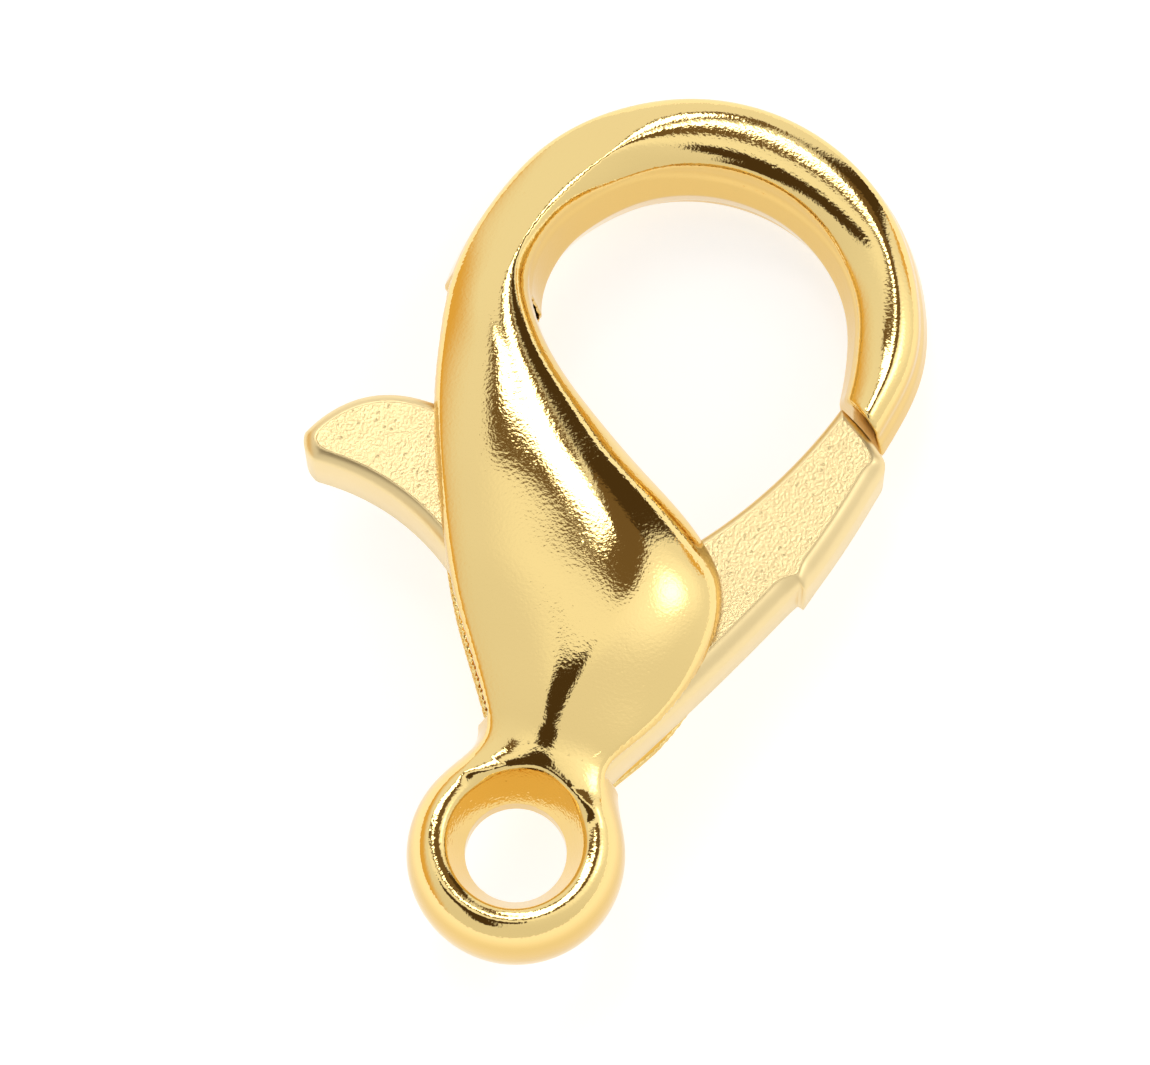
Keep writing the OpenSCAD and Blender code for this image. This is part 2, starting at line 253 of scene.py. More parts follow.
def locate(x, y, t, v, rounds):
    """Newton's method on outer + v (inner - outer) = (x, y), for the rib t and the share v."""
    for _ in range(rounds):
        rib, slope = rib_at(t, slice(0, 4))
        span = rib[:, 2:4] - rib[:, 0:2]
        by_t = slope[:, 0:2] + v[:, None] * (slope[:, 2:4] - slope[:, 0:2])
        miss_x = x - rib[:, 0] - v * span[:, 0]
        miss_y = y - rib[:, 1] - v * span[:, 1]
        area = by_t[:, 0] * span[:, 1] - by_t[:, 1] * span[:, 0]
        area = np.where(np.abs(area) < 1e-3, 1e-3, area)
        t = t + np.clip((miss_x * span[:, 1] - miss_y * span[:, 0]) / area, -0.3, 0.3)
        t = np.clip(t, knots[0], knots[-1])
        v = v + np.clip((by_t[:, 0] * miss_y - by_t[:, 1] * miss_x) / area, -0.3, 0.3)
        v = np.clip(v, -1, 2)
    return t, v


# %% The slot between the cheeks, and what the ribs say of a point in plan
SLOT_HALF = 0.73
SLOT_LOW, SLOT_CORNER, SLOT_TOP = 1.74, 1.38, 8.15
SLOT_REACH = LOOP_R - 0.15
HUB_POCKET_R = 0.5


def box_distance(x, y, low, high):
    """Signed distance to a rectangle: how far outside its sides, or minus how far inside."""
    dx = np.abs(x - (low[0] + high[0]) / 2) - (high[0] - low[0]) / 2
    dy = np.abs(y - (low[1] + high[1]) / 2) - (high[1] - low[1]) / 2
    outside = np.hypot(np.maximum(dx, 0), np.maximum(dy, 0))
    return outside + np.minimum(np.maximum(dx, dy), 0)


def slot_distance(x, y):
    """The slot in plan: its long box, the open corner by the hub, and the hub's round pocket."""
    long_box = box_distance(x, y, (-BODY_W, SLOT_LOW), (SLOT_REACH, SLOT_TOP))
    corner = box_distance(x, y, (PIVOT[0], SLOT_CORNER), (SLOT_REACH, SLOT_LOW + 1))
    pocket = np.hypot(x - PIVOT[0], y - PIVOT[1]) - HUB_POCKET_R
    return np.minimum(np.minimum(long_box, corner), pocket)


# Newton's rounds on a grid and near a known place, how far from either end of the ribs its plane
# counts, and a field's value deep in the metal
FIRST_ROUNDS, NEXT_ROUNDS = 8, 3
EYE_REACH, TIP_REACH, DEEP = 0.4, 1.5, -9
tip_along = unit(TIP_OUT - TIP_IN)
tip_away = np.array([tip_along[1], -tip_along[0]])


def plan(x, y, guess=None):
    """Everything about a point that doesn't depend on its height, as one array per quantity."""
    if guess is None:
        t, v = locate(x, y, *nearest_sample(x, y), FIRST_ROUNDS)
    else:
        t, v = locate(x, y, *guess, NEXT_ROUNDS)
    rib = rib_at(t)[0]
    outer, inner = rib[:, 0:2], rib[:, 2:4]
    wide = np.linalg.norm(inner - outer, axis=1)
    chord = (inner - outer) / wide[:, None]
    across = (x - outer[:, 0]) * chord[:, 0] + (y - outer[:, 1]) * chord[:, 1]
    past = (x - outer[:, 0]) * chord[:, 1] - (y - outer[:, 1]) * chord[:, 0]
    before_first = np.where(t < EYE_REACH, past, DEEP)
    beyond_tip = (x - TIP_IN[0]) * tip_away[0] + (y - TIP_IN[1]) * tip_away[1]
    ends = np.maximum(before_first, np.where(t > knots[-1] - TIP_REACH, beyond_tip, DEEP))
    return {
        "t": t, "v": v, "across": across, "wide": wide, "thick": rib[:, 4],
        "wall_out": rib[:, 5] * rib[:, 4], "wall_in": rib[:, 6] * rib[:, 4],
        "crest": rib[:, 7], "full_out": rib[:, 8], "full_in": rib[:, 9], "ridge": rib[:, 10], "ends": ends,
        "from_eye": np.hypot(x, y), "slot": slot_distance(x, y),
    }


# %% Two walls and a dome
CREASE = 0.07


def dome_side(q, up, run, rise, fullness, ridge):
    """Distance to one side of the dome, whose section is roof(q) + up^fullness = 1.

    q runs from 0 at the crest to 1 at the wall, up from 0 at the wall's top to 1 at the crest.
    roof(q) = (sqrt(q^2 + ridge^2) - ridge) / (sqrt(1 + ridge^2) - ridge), a hyperbola. The miss is
    divided by its own gradient, which makes it nearly a distance.
    """
    size = np.maximum(np.abs(up), 1e-3)
    slant = np.sqrt(q ** 2 + ridge ** 2)
    drop = np.sqrt(1 + ridge ** 2) - ridge
    miss = (slant - ridge) / drop + np.sign(up) * size ** fullness - 1
    return miss / np.hypot(q / slant / drop / run, fullness * size ** (fullness - 1) / rise)


def body_field(p, high):
    """The ribbed body: the largest of the distances to both drafted walls and the dome."""
    from_out = p["wall_out"] * WALL_DRAFT
    from_in = p["wide"] - p["wall_in"] * WALL_DRAFT
    crest = from_out + (from_in - from_out) * p["crest"]
    runs = crest - from_out, from_in - crest
    rises = p["thick"] - p["wall_out"], p["thick"] - p["wall_in"]
    q = np.abs((p["across"] - crest) / np.where(p["across"] < crest, runs[0], runs[1]))
    ups = (high - p["wall_out"]) / rises[0], (high - p["wall_in"]) / rises[1]
    out_side = dome_side(q, ups[0], runs[0], rises[0], p["full_out"], p["ridge"])
    in_side = dome_side(q, ups[1], runs[1], rises[1], p["full_in"], p["ridge"])
    dome = np.where(p["across"] < crest, out_side, in_side)
    lean = 1 / np.hypot(1, WALL_DRAFT)
    walls = np.maximum(high * WALL_DRAFT - p["across"], high * WALL_DRAFT - p["wide"] + p["across"]) * lean
    return round_max(round_max(dome, walls, CREASE), p["ends"], CREASE)


# %% The eye: a ring with a countersunk hole
EYE_R, EYE_CREST_R, EYE_HALF = 1.62, 1.2, 0.85
EYE_LAND, EYE_FLARE, EYE_SHOULDER = 0.3, 0.42, 0.25


def eye_field(p, high):
    """The ring's outside is a quarter ellipse, and its inside falls by a shoulder to the cone."""
    out = (p["from_eye"] - EYE_CREST_R) / (EYE_R - EYE_CREST_R)
    up = high / EYE_HALF
    near = np.maximum(np.hypot(out, up), 1e-3)
    steep = np.maximum(np.hypot(out / (EYE_R - EYE_CREST_R), up / EYE_HALF), 1e-3)
    outside = near * (near - 1) / steep
    inward = np.clip((EYE_CREST_R - p["from_eye"]) / (EYE_CREST_R - EYE_HOLE_R), 0, 1)
    inside = high - EYE_HALF + EYE_SHOULDER * inward ** 2
    return np.where(p["from_eye"] > EYE_CREST_R, outside, inside)


def hole_field(p, high):
    """The hole, below 0 in the metal: a short straight wall that flares to both faces."""
    cone = EYE_HOLE_R + EYE_FLARE * np.maximum(high - EYE_LAND / 2, 0)
    return (cone - p["from_eye"]) / np.hypot(1, EYE_FLARE)


# %% The whole casting
NECK_FILLET, HOLE_RIM, SLOT_RIM, PARTING = 0.5, 0.05, 0.05, 0.03


def casting_field(p, z):
    """Body and eye joined with a fillet, less the eye's hole, less the slot.

    The height above the halving plane is sqrt(z^2 + PARTING^2), which rounds the parting line.
    """
    high = np.sqrt(z ** 2 + PARTING ** 2)
    metal = round_min(body_field(p, high), eye_field(p, high), NECK_FILLET)
    metal = round_max(metal, hole_field(p, high), HOLE_RIM)
    slot = round_max(np.abs(z) - SLOT_HALF, p["slot"], SLOT_RIM)
    return round_max(metal, -slot, SLOT_RIM)


# %% [markdown]
# ## A mesh from a field
#
# Surface nets put one point in each grid cell that the surface crosses, and join the points of
# four cells round each crossed grid edge. The points are then slid onto the exact surface with
# Newton's method, along the field's own slope, and that slope is kept as the shading normal.
# So the mesh has the smoothness of the formula and not that of the grid.

# %% Surface nets
CORNERS = np.array([[i, j, k] for i in (0, 1) for j in (0, 1) for k in (0, 1)])
CELL_EDGES = [(a, b) for a in range(8) for b in range(a + 1, 8) if np.abs(CORNERS[a] - CORNERS[b]).sum() == 1]


def nets(values, low, step):
    """Points and outward quads of the surface where a grid of values is 0."""
    solid = values < 0
    cells = tuple(n - 1 for n in values.shape)
    count = sum(solid[i:i + cells[0], j:j + cells[1], k:k + cells[2]].astype(np.int8) for i, j, k in CORNERS)
    where = np.argwhere((count > 0) & (count < 8))
    at = np.stack([values[tuple((where + c).T)] for c in CORNERS], axis=1)
    total, crossings = np.zeros((len(where), 3)), np.zeros((len(where), 1))
    for a, b in CELL_EDGES:
        crossed = ((at[:, a] < 0) != (at[:, b] < 0))[:, None]
        share = (at[:, a] / np.where(at[:, a] == at[:, b], 1, at[:, a] - at[:, b]))[:, None]
        total += np.where(crossed, CORNERS[a] + share * (CORNERS[b] - CORNERS[a]), 0)
        crossings += crossed
    points = low + (where + total / crossings) * step
    number = np.full(cells, -1)
    number[tuple(where.T)] = np.arange(len(where))
    quads = []
    for d in range(3):
        u, v = np.eye(3, dtype=int)[[(d + 1) % 3, (d + 2) % 3]]
        ahead = np.roll(solid, -1, axis=d)
        edge = np.argwhere(solid != ahead)
        edge = edge[(edge > 0).all(1) & (edge < np.array(cells)).all(1)]
        ring = np.stack([number[tuple((edge - s).T)] for s in (u + v, v, 0 * u, u)], axis=1)
        leaving = solid[tuple(edge.T)][:, None]
        quads.append(np.where(leaving, ring, ring[:, ::-1]))
    return points, np.vstack(quads)


# %% Slide the points onto the surface
def gradient(field, points, guess, reach=0.004):
    """The field's slope along X, Y and Z, from central differences."""
    slopes = []
    for axis in np.eye(3) * reach:
        slopes.append((field(points + axis, guess)[0] - field(points - axis, guess)[0]) / (2 * reach))
    return np.stack(slopes, axis=1)


def relax(points, quads, normals):
    """Each point moves towards the mean of its neighbours, but only along the surface."""
    at = quads.T.ravel()
    beside = np.roll(quads, -1, axis=1).T.ravel()
    total = np.stack([np.bincount(at, points[beside, a], len(points)) for a in range(3)], axis=1)
    shift = total / np.maximum(np.bincount(at, minlength=len(points)), 1)[:, None] - points
    return points + 0.5 * (shift - (shift * normals).sum(1)[:, None] * normals)


def settle(field, points, quads, guess, rounds, longest=0.05):
    """Relax and project by turns, and return the points with their normals.

    One Newton step is value / |slope|^2 times the slope, and never longer than longest allows.
    """
    for turn in range(rounds):
        value, guess = field(points, guess)
        slope = gradient(field, points, guess)
        size2 = np.maximum((slope ** 2).sum(1), 0.05)
        points = points - np.clip(value / size2, -longest, longest)[:, None] * slope
        normals = slope / np.linalg.norm(slope, axis=1)[:, None]
        if turn < rounds - 2:
            points = relax(points, quads, normals)
    return points, normals


# %% Cast the casting
GRID = 0.052
LOW, HIGH = np.array([-4.0, -1.8, -1.82]), np.array([3.7, 12.5, 1.82])


def casting_at(points, guess):
    """The casting's field at loose points, and where on the ribs they lie."""
    p = plan(points[:, 0], points[:, 1], guess)
    return casting_field(p, points[:, 2]), (p["t"], p["v"])


axes = [np.arange(lo, hi, GRID) for lo, hi in zip(LOW, HIGH)]
plan_x, plan_y = (a.ravel() for a in np.meshgrid(axes[0], axes[1], indexing="ij"))
flat_plan = plan(plan_x, plan_y)
shape = len(axes[0]), len(axes[1]), 1
grid_plan = {name: value.reshape(shape) for name, value in flat_plan.items()}
values = casting_field(grid_plan, axes[2][None, None, :])
points, quads = nets(values, LOW, GRID)
cell = np.clip(((points[:, :2] - LOW[:2]) / GRID).round().astype(int), 0, np.array(shape[:2]) - 1)
guess = grid_plan["t"][cell[:, 0], cell[:, 1], 0], grid_plan["v"][cell[:, 0], cell[:, 1], 0]
points, normals = settle(casting_at, points, quads, guess, 5)
print("casting:", len(points), "points,", 2 * len(quads), "triangles")


# %% Meshes and objects
def new_object(name, points, faces, normals=None, values=None, flat_last=0):
    """A piece at the origin, with its place in its mesh and its normals and values kept.

    All of its faces are shaded smooth, apart from the last few where they are said to be flat.
    """
    mesh = bpy.data.meshes.new(name)
    mesh.from_pydata(to_row(points).tolist(), [], [list(map(int, f)) for f in faces])
    mesh.update()
    mesh.polygons.foreach_set("use_smooth", np.arange(len(faces)) < len(faces) - flat_last)
    if normals is not None:
        mesh.normals_split_custom_set_from_vertices((normals @ OWN_AXES).tolist())
    for key, numbers in (values or {}).items():
        mesh.attributes.new(key, "FLOAT", "POINT").data.foreach_set("value", np.asarray(numbers, np.float32))
    piece = bpy.data.objects.new(name, mesh)
    bpy.context.scene.collection.objects.link(piece)
    return piece


# %% The casting's own value: 1 on its steep walls, 0 on its top, and a smooth step between them
WALL_STARTS, WALL_BLEND = 0.55, 0.3
# This value masks where the darker wall gold is painted on as shade and reflection.
steep = np.clip((WALL_STARTS - np.abs(normals[:, 2])) / WALL_BLEND, 0, 1)
casting = new_object("casting", points, quads, normals, {"wall": steep ** 2 * (3 - 2 * steep)})
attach(casting, "body")
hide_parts("claw_body")

# %% [markdown]
# ## The lever
#
# The lever is a flat casting with a thumb tab on one side and the gate on the other. It could be
# a slab with bevelled edges, but its rims are wider along the gate than on the tab. So its
# outline is carried over a profile that rounds both rims, with a radius for each point. The
# outline is a few arcs between named points, each given by how far its middle stands off the
# straight line.

# %% The lever's outline
LEVER_T, HUB_R, GATE_GAP = 1.3, 0.42, 0.12
TAB_X, TAB_Y, TAB_ROOT_W = 5.02, 5.14, 2.05
GATE_END_W, GATE_SET_IN, GATE_BOW, GATE_STEP, STEP_SHARE = 0.92, 0.2, 0.34, 0.1, 0.65
SHOULDER_DROP, CHIN_DROP = [0.13, -0.26], [0.27, -0.38]
# in shares of BODY_W
TAB_LOW_X, TAB_TOP_X, GATE_ROOT_X = -0.58, -0.73, 0.23
# angles on the hub, in degrees
HUB_RIGHT, HUB_LEFT, HUB_RIM = -30, -240, 0.12


def arc(start, end, bow, n):
    """n points of a parabola from start towards end, whose middle stands off to the left by bow."""
    f = np.arange(n)[:, None] / n
    chord = end - start
    side = np.array([-chord[1], chord[0]]) / np.linalg.norm(chord)
    return start + chord * f + side * bow * 4 * f * (1 - f)


def on_hub(degrees):
    """Points of the lever's hub, at angles from the own X axis."""
    a = np.radians(np.atleast_1d(degrees))
    return PIVOT + HUB_R * np.c_[np.cos(a), np.sin(a)]


gate_in = TIP_IN + tip_away * GATE_GAP + tip_along * GATE_SET_IN
gate_out = gate_in + tip_along * GATE_END_W
gate_shoulder = gate_out + SHOULDER_DROP
hub_right, hub_left = on_hub([HUB_RIGHT, HUB_LEFT])
gate_line = gate_shoulder - hub_right
gate_side = unit([gate_line[1], -gate_line[0]])
step_out = hub_right + gate_line * STEP_SHARE + gate_side * GATE_BOW
step_in = step_out - gate_side * GATE_STEP
tab_low = np.array([TAB_LOW_X * BODY_W, TAB_Y - TAB_ROOT_W / 2])
tab_top = np.array([TAB_TOP_X * BODY_W, TAB_Y + TAB_ROOT_W / 2])
tab_end = np.array([-TAB_X, TAB_Y])
tab_chin = tab_end + CHIN_DROP
gate_root = np.array([GATE_ROOT_X * BODY_W, TAB_Y])
stretches = [
    # from, to, bow, points, rim radius
    (gate_in, gate_out, 0.03, 6, 0.12),
    (gate_out, gate_shoulder, 0.05, 6, 0.16),
    (gate_shoulder, step_out, 0.04, 24, 0.28),
    (step_out, step_in, 0.0, 2, 0.02),
    (step_in, hub_right, 0.04, 30, 0.28),
    (hub_left, tab_low, 0.0, 12, 0.12),
    (tab_low, tab_chin, -0.19, 24, 0.17),
    (tab_chin, tab_end, 0.07, 10, 0.17),
    (tab_end, tab_top, 0.37, 28, 0.15),
    (tab_top, gate_root, -0.35, 30, 0.12),
    (gate_root, gate_in, -0.16, 30, 0.11),
]
arcs = [arc(*s[:4]) for s in stretches]
hub = on_hub(np.arange(HUB_RIGHT, HUB_LEFT, -7))
outline = np.vstack(arcs[:5] + [hub] + arcs[5:])[::-1]
radii = [np.full(s[3], s[4]) for s in stretches]
rim = np.concatenate(radii[:5] + [np.full(len(hub), HUB_RIM)] + radii[5:])[::-1]
print("lever outline:", len(outline), "points in", len(stretches), "arcs and a hub")


# %% A rim carried round an outline
ROUNDING, FLAT_IN, SHARPEST = 1.3, 1.08, 0.6


def evenly(loop, gap):
    """A closed line's points, or numbers along it, again at even distances of about gap."""
    closed = np.vstack([loop, loop[:1]])
    run = np.r_[0, np.cumsum(np.linalg.norm(np.diff(closed[:, :2], axis=0), axis=1))]
    at = np.linspace(0, run[-1], round(run[-1] / gap), endpoint=False)
    return np.stack([np.interp(at, run, column) for column in closed.T], axis=1)


def eased(loop, reach):
    """A closed line's columns, each point the mean of its neighbours up to reach points away."""
    wide = np.concatenate([loop[-reach:], loop, loop[:reach]])
    window = np.hanning(2 * reach + 3)[1:-1]
    return np.stack([np.convolve(column, window / window.sum(), "valid") for column in wide.T], axis=1)


def inward(outline):
    """Each point's way in, long enough that both edges beside it move by 1.

    It is (l + k) / ((l + k) . l), where l and k are the unit vectors to the left of the two
    edges. SHARPEST is the least that it is divided by, and keeps a sharp corner's way short.
    """
    edge = np.roll(outline, -1, axis=0) - outline
    edge /= np.linalg.norm(edge, axis=1)[:, None]
    left = np.c_[-edge[:, 1], edge[:, 0]]
    both = left + np.roll(left, 1, axis=0)
    return both / np.maximum((both * left).sum(1), SHARPEST)[:, None]


def plate(outline, half, radius, turns=6, ease=0):
    """A flat plate: the outline carried over a profile with a rounded quarter turn at both rims.

    At the angle a, a ring is 1 - cos(a)^ROUNDING radii inside the outline and as far below the
    face as 1 - sin(a)^ROUNDING radii. The last ring of each rim, FLAT_IN radii inside, bounds the
    flat face. The radius is one number for each point of the outline, so that a rim can be
    sharper in a corner than along an edge. Further in, the rings follow an eased outline, and so
    a small step of the edge fades out over the rim. The two flat faces come last. The third
    result is 1 at the points of those faces and 0 on the rims.
    """
    a = np.linspace(0, np.pi / 2, turns + 1)
    share = np.r_[1 - np.cos(a) ** ROUNDING, FLAT_IN][:, None]
    below = (1 - np.sin(a) ** ROUNDING)[:, None] * radius
    high = half - np.vstack([below, 0 * radius])
    share, high = np.r_[share[::-1], share], np.r_[-high[::-1], high]
    soft = eased(outline, ease) if ease else outline
    rings = outline + np.minimum(share, 1)[..., None] * (soft - outline)
    rings = rings + (share * radius)[..., None] * inward(soft)
    points = np.dstack([rings, high])
    n = len(outline)
    i, k = np.meshgrid(np.arange(len(high) - 1), np.arange(n), indexing="ij")
    a, b = i * n + k, i * n + (k + 1) % n
    sides = np.stack([a, b, b + n, a + n], axis=-1).reshape(-1, 4).tolist()
    lids = [list(range(n))[::-1], list(range((len(high) - 1) * n, len(high) * n))]
    on_face = np.zeros((len(high), n))
    on_face[[0, -1]] = 1
    return points.reshape(-1, 3), sides + lids, on_face.ravel()


# %% The lever
OUTLINE_GAP, RIM_EASE, FACE_EASE = 0.045, 7, 8
loop = evenly(np.c_[outline, rim], OUTLINE_GAP)
outline, rim = loop[:, :2], eased(loop[:, 2:], RIM_EASE)[:, 0]
points, faces, on_face = plate(outline, LEVER_T / 2, rim, ease=FACE_EASE)
lever = new_object("lever", points, faces, values={"face": on_face}, flat_last=2)
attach(lever, "lever")
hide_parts("trigger_lever")
print("lever:", len(points), "points")

# %% [markdown]
# ## The spring
#
# A leaf of spring steel lies in the slot between the cheeks. It is bent round an eye of its
# own, with one leg on the slot's floor and one under the lever's arm. The leaf is a line with
# a thickness, so its outline is that line moved to either side, and the plate above makes it
# solid. It is made where it lies, with its leg set under the lever's arm as the lever rests.

# %% The leaf spring
SPRING_T, SPRING_W, SPRING_LEG, SPRING_EYE_R, SPRING_GAP = 0.12, 1.1, 1.0, 0.22, 0.04
SPRING_RIM, BLEND_HALF = 0.02, 0.12
arm = unit(tab_low - hub_left)
arm_slope = np.arctan2(arm[1], -arm[0])
spring_y = SLOT_LOW + SPRING_GAP + SPRING_EYE_R
spring_in = (SPRING_EYE_R + SPRING_GAP + (spring_y - hub_left[1]) * np.cos(arm_slope)) / np.sin(arm_slope)
spring_at = np.array([hub_left[0] - spring_in, spring_y])
leg_low, leg_high = np.array([-1.0, 0.0]), np.array([-np.cos(arm_slope), np.sin(arm_slope)])
turn = np.linspace(-np.pi / 2, np.pi / 2 - arm_slope, 26)
reach = np.linspace(0, SPRING_LEG, 9)[1:, None]
line_r = SPRING_EYE_R - SPRING_T / 2
bend = line_r * np.c_[np.cos(turn), np.sin(turn)]
leaf = spring_at + np.vstack([(bend[0] + reach * leg_low)[::-1], bend, bend[-1] + reach * leg_high])
ahead = np.gradient(leaf, axis=0)
side = np.c_[-ahead[:, 1], ahead[:, 0]] / np.linalg.norm(ahead, axis=1)[:, None] * SPRING_T / 2
leaf_outline = np.vstack([leaf - side, (leaf + side)[::-1]])
points, faces, _ = plate(leaf_outline, SPRING_W / 2, np.full(len(leaf_outline), SPRING_RIM), turns=3)
spring = new_object("leaf_spring", points, faces, flat_last=2)
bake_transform(spring)
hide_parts("lever_spring")
print("spring:", len(points), "points, eye at", spring_at.round(3))

# %% [markdown]
# ## Shader maths
#
# A finish is arithmetic on patterns. One small class wraps a socket, so that an expression in
# Python builds the Math nodes behind it, and one method makes any other node.

# %% Sockets that can be added and multiplied
class Shade:
    """A node's output with the usual operators, which add Math nodes to its tree."""

    def __init__(self, socket):
        self.socket = socket

    @classmethod
    def node(cls, tree, kind, settings=None, sockets=None, out=0):
        """Any node: its settings first, then a value or a link for each of its sockets."""
        made = tree.nodes.new("ShaderNode" + kind)
        for key, value in (settings or {}).items():
            setattr(made, key, value)
        for key, value in (sockets or {}).items():
            if isinstance(value, Shade):
                tree.links.new(value.socket, made.inputs[key])
            else:
                made.inputs[key].default_value = value
        return cls(made.outputs[out])

    def math(self, operation, *others):
        """One Math node on this value and the others, in that order."""
        inputs = dict(enumerate((self, *others)))
        return Shade.node(self.socket.id_data, "Math", {"operation": operation}, inputs)

    def __add__(self, other):
        return self.math("ADD", other)

    def __mul__(self, other):
        return self.math("MULTIPLY", other)

    def __sub__(self, other):
        return self.math("SUBTRACT", other)

    def __truediv__(self, other):
        return self.math("DIVIDE", other)

    def __rsub__(self, other):
        return (self * -1) + other

    def __rtruediv__(self, other):
        return self.math("POWER", -1.0) * other

    __radd__ = __add__
    __rmul__ = __mul__

    def between(self, low, high):
        """0 at low, 1 at high, and a smooth step between them."""
        settings = {"interpolation_type": "SMOOTHSTEP"}
        ends = {"Value": self, "From Min": low, "From Max": high}
        return Shade.node(self.socket.id_data, "MapRange", settings, ends)


def mix(tree, share, first, second):
    """Two colours mixed by a share. The Mix node's colours are its inputs 6 and 7, and its output 2."""
    return Shade.node(tree, "Mix", {"data_type": "RGBA"}, {0: share, 6: first, 7: second}, 2)


def new_material(name):
    """An empty tree with a Principled shader, and its millimetre coordinates."""
    material = bpy.data.materials.new(name)
    material.use_nodes = True
    tree = material.node_tree
    shader = next(n for n in tree.nodes if n.type == "BSDF_PRINCIPLED")
    place = Shade.node(tree, "TexCoord", out="Object")
    in_mm = Shade.node(tree, "VectorMath", {"operation": "SCALE"}, {"Vector": place, "Scale": 1 / MM})
    return material, tree, shader, in_mm


# %% [markdown]
# ## The metals
#
# Polished plating isn't quite smooth. Its peel barely shows on a plain reflection, but breaks
# the edge of a dark one into sparks, and that makes the gold look cast and not ideal. The
# lever's faces keep the sand of their mould under the plating, while tumbling polishes its rims.

# %% A metal from a height and a roughness
# SHADED_WALL_GOLD is painted shade and reflection: a darker, more saturated gold for the steep walls.
GOLD, SHADED_WALL_GOLD = (0.93, 0.705, 0.292, 1), (0.78, 0.53, 0.17, 1)
LEVER_GOLD, STEEL = (0.87, 0.69, 0.36, 1), (0.56, 0.55, 0.52, 1)


def metal(name, colour, height_of, roughness_of):
    """A metal from patterns: its height in thousandths of a millimetre, and its roughness."""
    material, tree, shader, in_mm = new_material(name)
    bump = Shade.node(tree, "Bump", None, {"Height": height_of(tree, in_mm), "Distance": 0.001 * MM})
    tree.links.new(bump.socket, shader.inputs["Normal"])
    tree.links.new(roughness_of(tree, in_mm).socket, shader.inputs["Roughness"])
    if callable(colour):
        tree.links.new(colour(tree).socket, shader.inputs["Base Color"])
    else:
        shader.inputs["Base Color"].default_value = colour
    shader.inputs["Metallic"].default_value = 1.0
    return material


def noise(tree, place, scale, detail=1.0):
    """Soft noise round 0, with so many features to the millimetre."""
    return Shade.node(tree, "TexNoise", None, {"Vector": place, "Scale": scale, "Detail": detail}) - 0.5


# %% Polished plating on the casting
def peel(tree, place):
    """The plating's peel: long soft swells, a fine grain, and a scatter of tiny dimples."""
    spots = Shade.node(tree, "TexVoronoi", None, {"Vector": place, "Scale": 5.0, "Randomness": 1.0})
    dimples = spots.between(0.0, 0.16) * 1.1
    return noise(tree, place, 0.8) * 5.0 + noise(tree, place, 20.0, 1.0) * 1.9 + dimples


def polish(tree, place):
    """Nearly a mirror, a little duller in patches."""
    return noise(tree, place, 2.0) * 0.04 + 0.055


def painted_shade_on_walls(tree):
    """The gold, and a deeper, darker one painted on the steep walls: painted shade and painted gold-on-gold
    reflection.
    """
    steep = Shade.node(tree, "Attribute", {"attribute_name": "wall"}, out="Fac")
    return mix(tree, steep, GOLD, SHADED_WALL_GOLD)


casting.data.materials.append(metal("polished gold plating", painted_shade_on_walls, peel, polish))


# %% Sandy faces and polished rims on the lever
def sandy_share(tree):
    """1 on the lever's flat faces and 0 on its rims."""
    return Shade.node(tree, "Attribute", {"attribute_name": "face"}, out="Fac").between(0.2, 1.0)


def sand(tree, place):
    """A fine even grain and deeper pits, where the faces are flat."""
    spots = Shade.node(tree, "TexVoronoi", None, {"Vector": place, "Scale": 7.0, "Randomness": 1.0})
    grain = noise(tree, place, 23.0, 3.0) * 9.0 + spots.between(0.0, 0.22) * 9.0
    return grain * sandy_share(tree) + noise(tree, place, 1.2) * 4.0


def satin(tree, place):
    """Satin on the faces, and brighter on the rims."""
    return sandy_share(tree) * 0.03 + 0.33 + noise(tree, place, 3.0) * 0.08


lever.data.materials.append(metal("sandy gold plating", LEVER_GOLD, sand, satin))


# %% Drawn steel in the pin and the spring
def drawn(along):
    """Marks from drawing: noise that is stretched along one own axis of the clasp."""
    def height(tree, place):
        far = Shade.node(tree, "VectorMath", {"operation": "DOT_PRODUCT"}, {0: place, 1: along}, "Value")
        squeeze = {"Vector": tuple(along), "Scale": far * 0.95}
        taken = Shade.node(tree, "VectorMath", {"operation": "SCALE"}, squeeze)
        flat = Shade.node(tree, "VectorMath", {"operation": "SUBTRACT"}, {0: place, 1: taken})
        return noise(tree, flat, 30.0, 2.0) * 1.5
    return height


def bright(tree, place):
    """Bright metal with a faint cloud."""
    return noise(tree, place, 4.0) * 0.1 + 0.22


spring.data.materials.append(metal("spring steel", STEEL, drawn(own_z), bright))
pin = bpy.data.objects["pivot_pin"]
pin.data.materials.clear()
pin.data.materials.append(metal("gold plated pin", GOLD, drawn(own_z), bright))

# %% [markdown]
# ## The studio
#
# Metal has no look of its own, only what it reflects. The floor is white paper that glows a
# little, so that it stays white under the clasp. The sky is drawn as a flat map: a direction's
# distance from the map's middle is its angle from straight up, in degrees. Soft strokes of lamp
# and dark cloth on that map make the bright band, the dark wedge and the amber edges.

# %% The floor
FLOOR_HALF, PAPER, GLOW = 0.6, 0.55, 0.66
corners = [(x * FLOOR_HALF, y * FLOOR_HALF, 0) for x, y in ((-1, -1), (1, -1), (1, 1), (-1, 1))]
floor_mesh = bpy.data.meshes.new("floor")
floor_mesh.from_pydata(corners, [], [(0, 1, 2, 3)])
floor = bpy.data.objects.new("floor", floor_mesh)
bpy.context.scene.collection.objects.link(floor)
paper, tree, shader, _ = new_material("white paper")
shader.inputs["Base Color"].default_value = (PAPER, PAPER, PAPER, 1)
shader.inputs["Roughness"].default_value = 0.6
shader.inputs["Specular IOR Level"].default_value = 0.0
shader.inputs["Emission Color"].default_value = (1, 1, 1, 1)
shader.inputs["Emission Strength"].default_value = GLOW
floor.data.materials.append(paper)

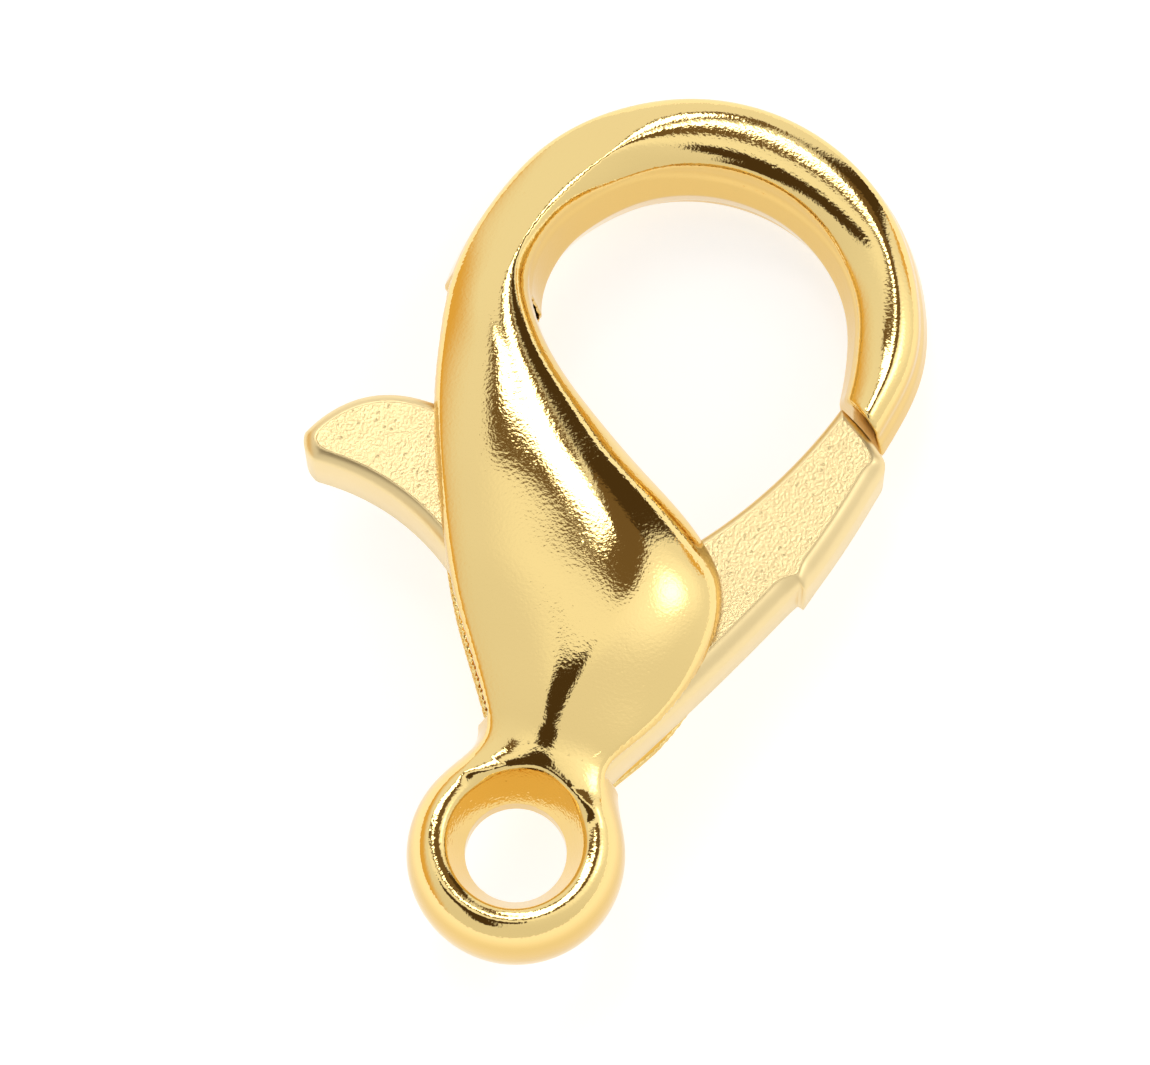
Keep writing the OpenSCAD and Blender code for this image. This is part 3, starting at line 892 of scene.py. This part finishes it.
# %% The camera
AIM = np.array([0.02, -0.32, 1.6]) * MM
AWAY, HIGH_ANGLE, ROUND_ANGLE, ROLL = 89.4 * MM, 74.6, 40.6, 23.8
LENS, NEAREST = 186, 1 * MM


def toward(azimuth, elevation):
    """A unit vector at an elevation above the floor and an azimuth from -Y round to +X, in degrees."""
    a, e = np.radians([azimuth, elevation])
    return np.array([np.sin(a) * np.cos(e), -np.cos(a) * np.cos(e), np.sin(e)])


back = toward(ROUND_ANGLE, HIGH_ANGLE)
level = unit(np.cross([0, 0, 1], back))
rise = np.cross(back, level)
roll = np.radians(ROLL)
picture_up = rise * np.cos(roll) + level * np.sin(roll)
camera = bpy.data.objects.new("camera", bpy.data.cameras.new("camera"))
bpy.context.scene.collection.objects.link(camera)
bpy.context.scene.camera = camera
turned = np.eye(4)
turned[:3, :3] = np.c_[np.cross(picture_up, back), picture_up, back]
turned[:3, 3] = AIM + back * AWAY
camera.matrix_world = Matrix(turned.tolist())
camera.data.lens = LENS
camera.data.clip_start = NEAREST

# %% The sky as a flat map
world = bpy.data.worlds.new("studio")
bpy.context.scene.world = world
world.use_nodes = True
studio = world.node_tree
looks = Shade.node(studio, "TexCoord", out="Generated")
parts = Shade.node(studio, "SeparateXYZ", None, {0: looks})
east, north, height = (Shade(parts.socket.node.outputs[k]) for k in range(3))
down = height.math("ARCCOSINE") * (180 / np.pi)
sideways = (east * east + north * north + 1e-8).math("SQRT")
map_x = east * down / sideways
map_y = north * down / sideways


def stroke(start, end, radius, edge):
    """A soft-edged stroke on the map, in degrees: 1 within a radius of the line start-end."""
    run = np.subtract(end, start)
    off_x, off_y = map_x - float(start[0]), map_y - float(start[1])
    along = (off_x * float(run[0]) + off_y * float(run[1])) * (1 / max(float(run @ run), 1e-6))
    share = along.math("MAXIMUM", 0.0).math("MINIMUM", 1.0)
    miss_x, miss_y = off_x - share * float(run[0]), off_y - share * float(run[1])
    away = (miss_x * miss_x + miss_y * miss_y).math("SQRT")
    return away.between(radius + edge, radius - edge)


SOUTH, NORTH = (0.80, 0.79, 0.77, 1), (0.93, 0.93, 0.93, 1)
DARK, DIM, AMBER = (0.07, 0.042, 0.016, 1), (0.17, 0.11, 0.05, 1), (0.8, 0.5, 0.14, 1)
PALE, WHITE, GLOWING, LAMP = (1.03, 1.03, 1.0, 1), (1.2, 1.2, 1.2, 1), (3.0, 3.0, 3.0, 1), (4.6, 4.6, 4.6, 1)
sky = mix(studio, map_y.between(-50.0, 40.0), SOUTH, NORTH)
strokes = [
    # from and to on the map, radius, edge, brightness
    ((-28, 4), (14, 5), 8, 8, PALE),
    ((35, 15), (48, 32), 16, 12, WHITE),
    ((-18, -9), (2, -9), 8.5, 2, DARK),
    ((-8, -20), (-5, -38), 10, 3, DARK),
    ((50, 92), (60, 70), 12, 3, AMBER),
    ((-78, -60), (-84, 50), 20, 14, AMBER),
    ((14, 42), (34, 80), 11, 3, DARK),
    ((0, 21), (12, 21), 6.5, 2, DIM),
    ((10, 22), (14, 34), 10, 2, DIM),
    ((-34, 15), (-14, 18), 5, 2, DIM),
    ((-14, 20), (6, 19), 6.5, 1.5, DIM),
    ((-30, 19), (-14, 26), 7, 2, DIM),
    ((-14, 26), (-8, 46), 9.5, 2, DIM),
    ((-30, 21), (-14, 24), 3.2, 2, LAMP),
    ((-14, 24), (-7, 24), 6, 2.5, LAMP),
    ((-13, 28), (-10, 44), 4.5, 2, LAMP),
    ((-3, 25), (1, 25), 2, 1.5, LAMP),
    ((40, 22), (42, 24), 7, 7, GLOWING),
]
for start, end, radius, edge, colour in strokes:
    sky = mix(studio, stroke(start, end, radius, edge), sky, colour)
studio.links.new(sky.socket, studio.nodes["Background"].inputs["Color"])
bpy.context.scene.view_settings.view_transform = "Standard"
print("sky:", len(strokes), "strokes")
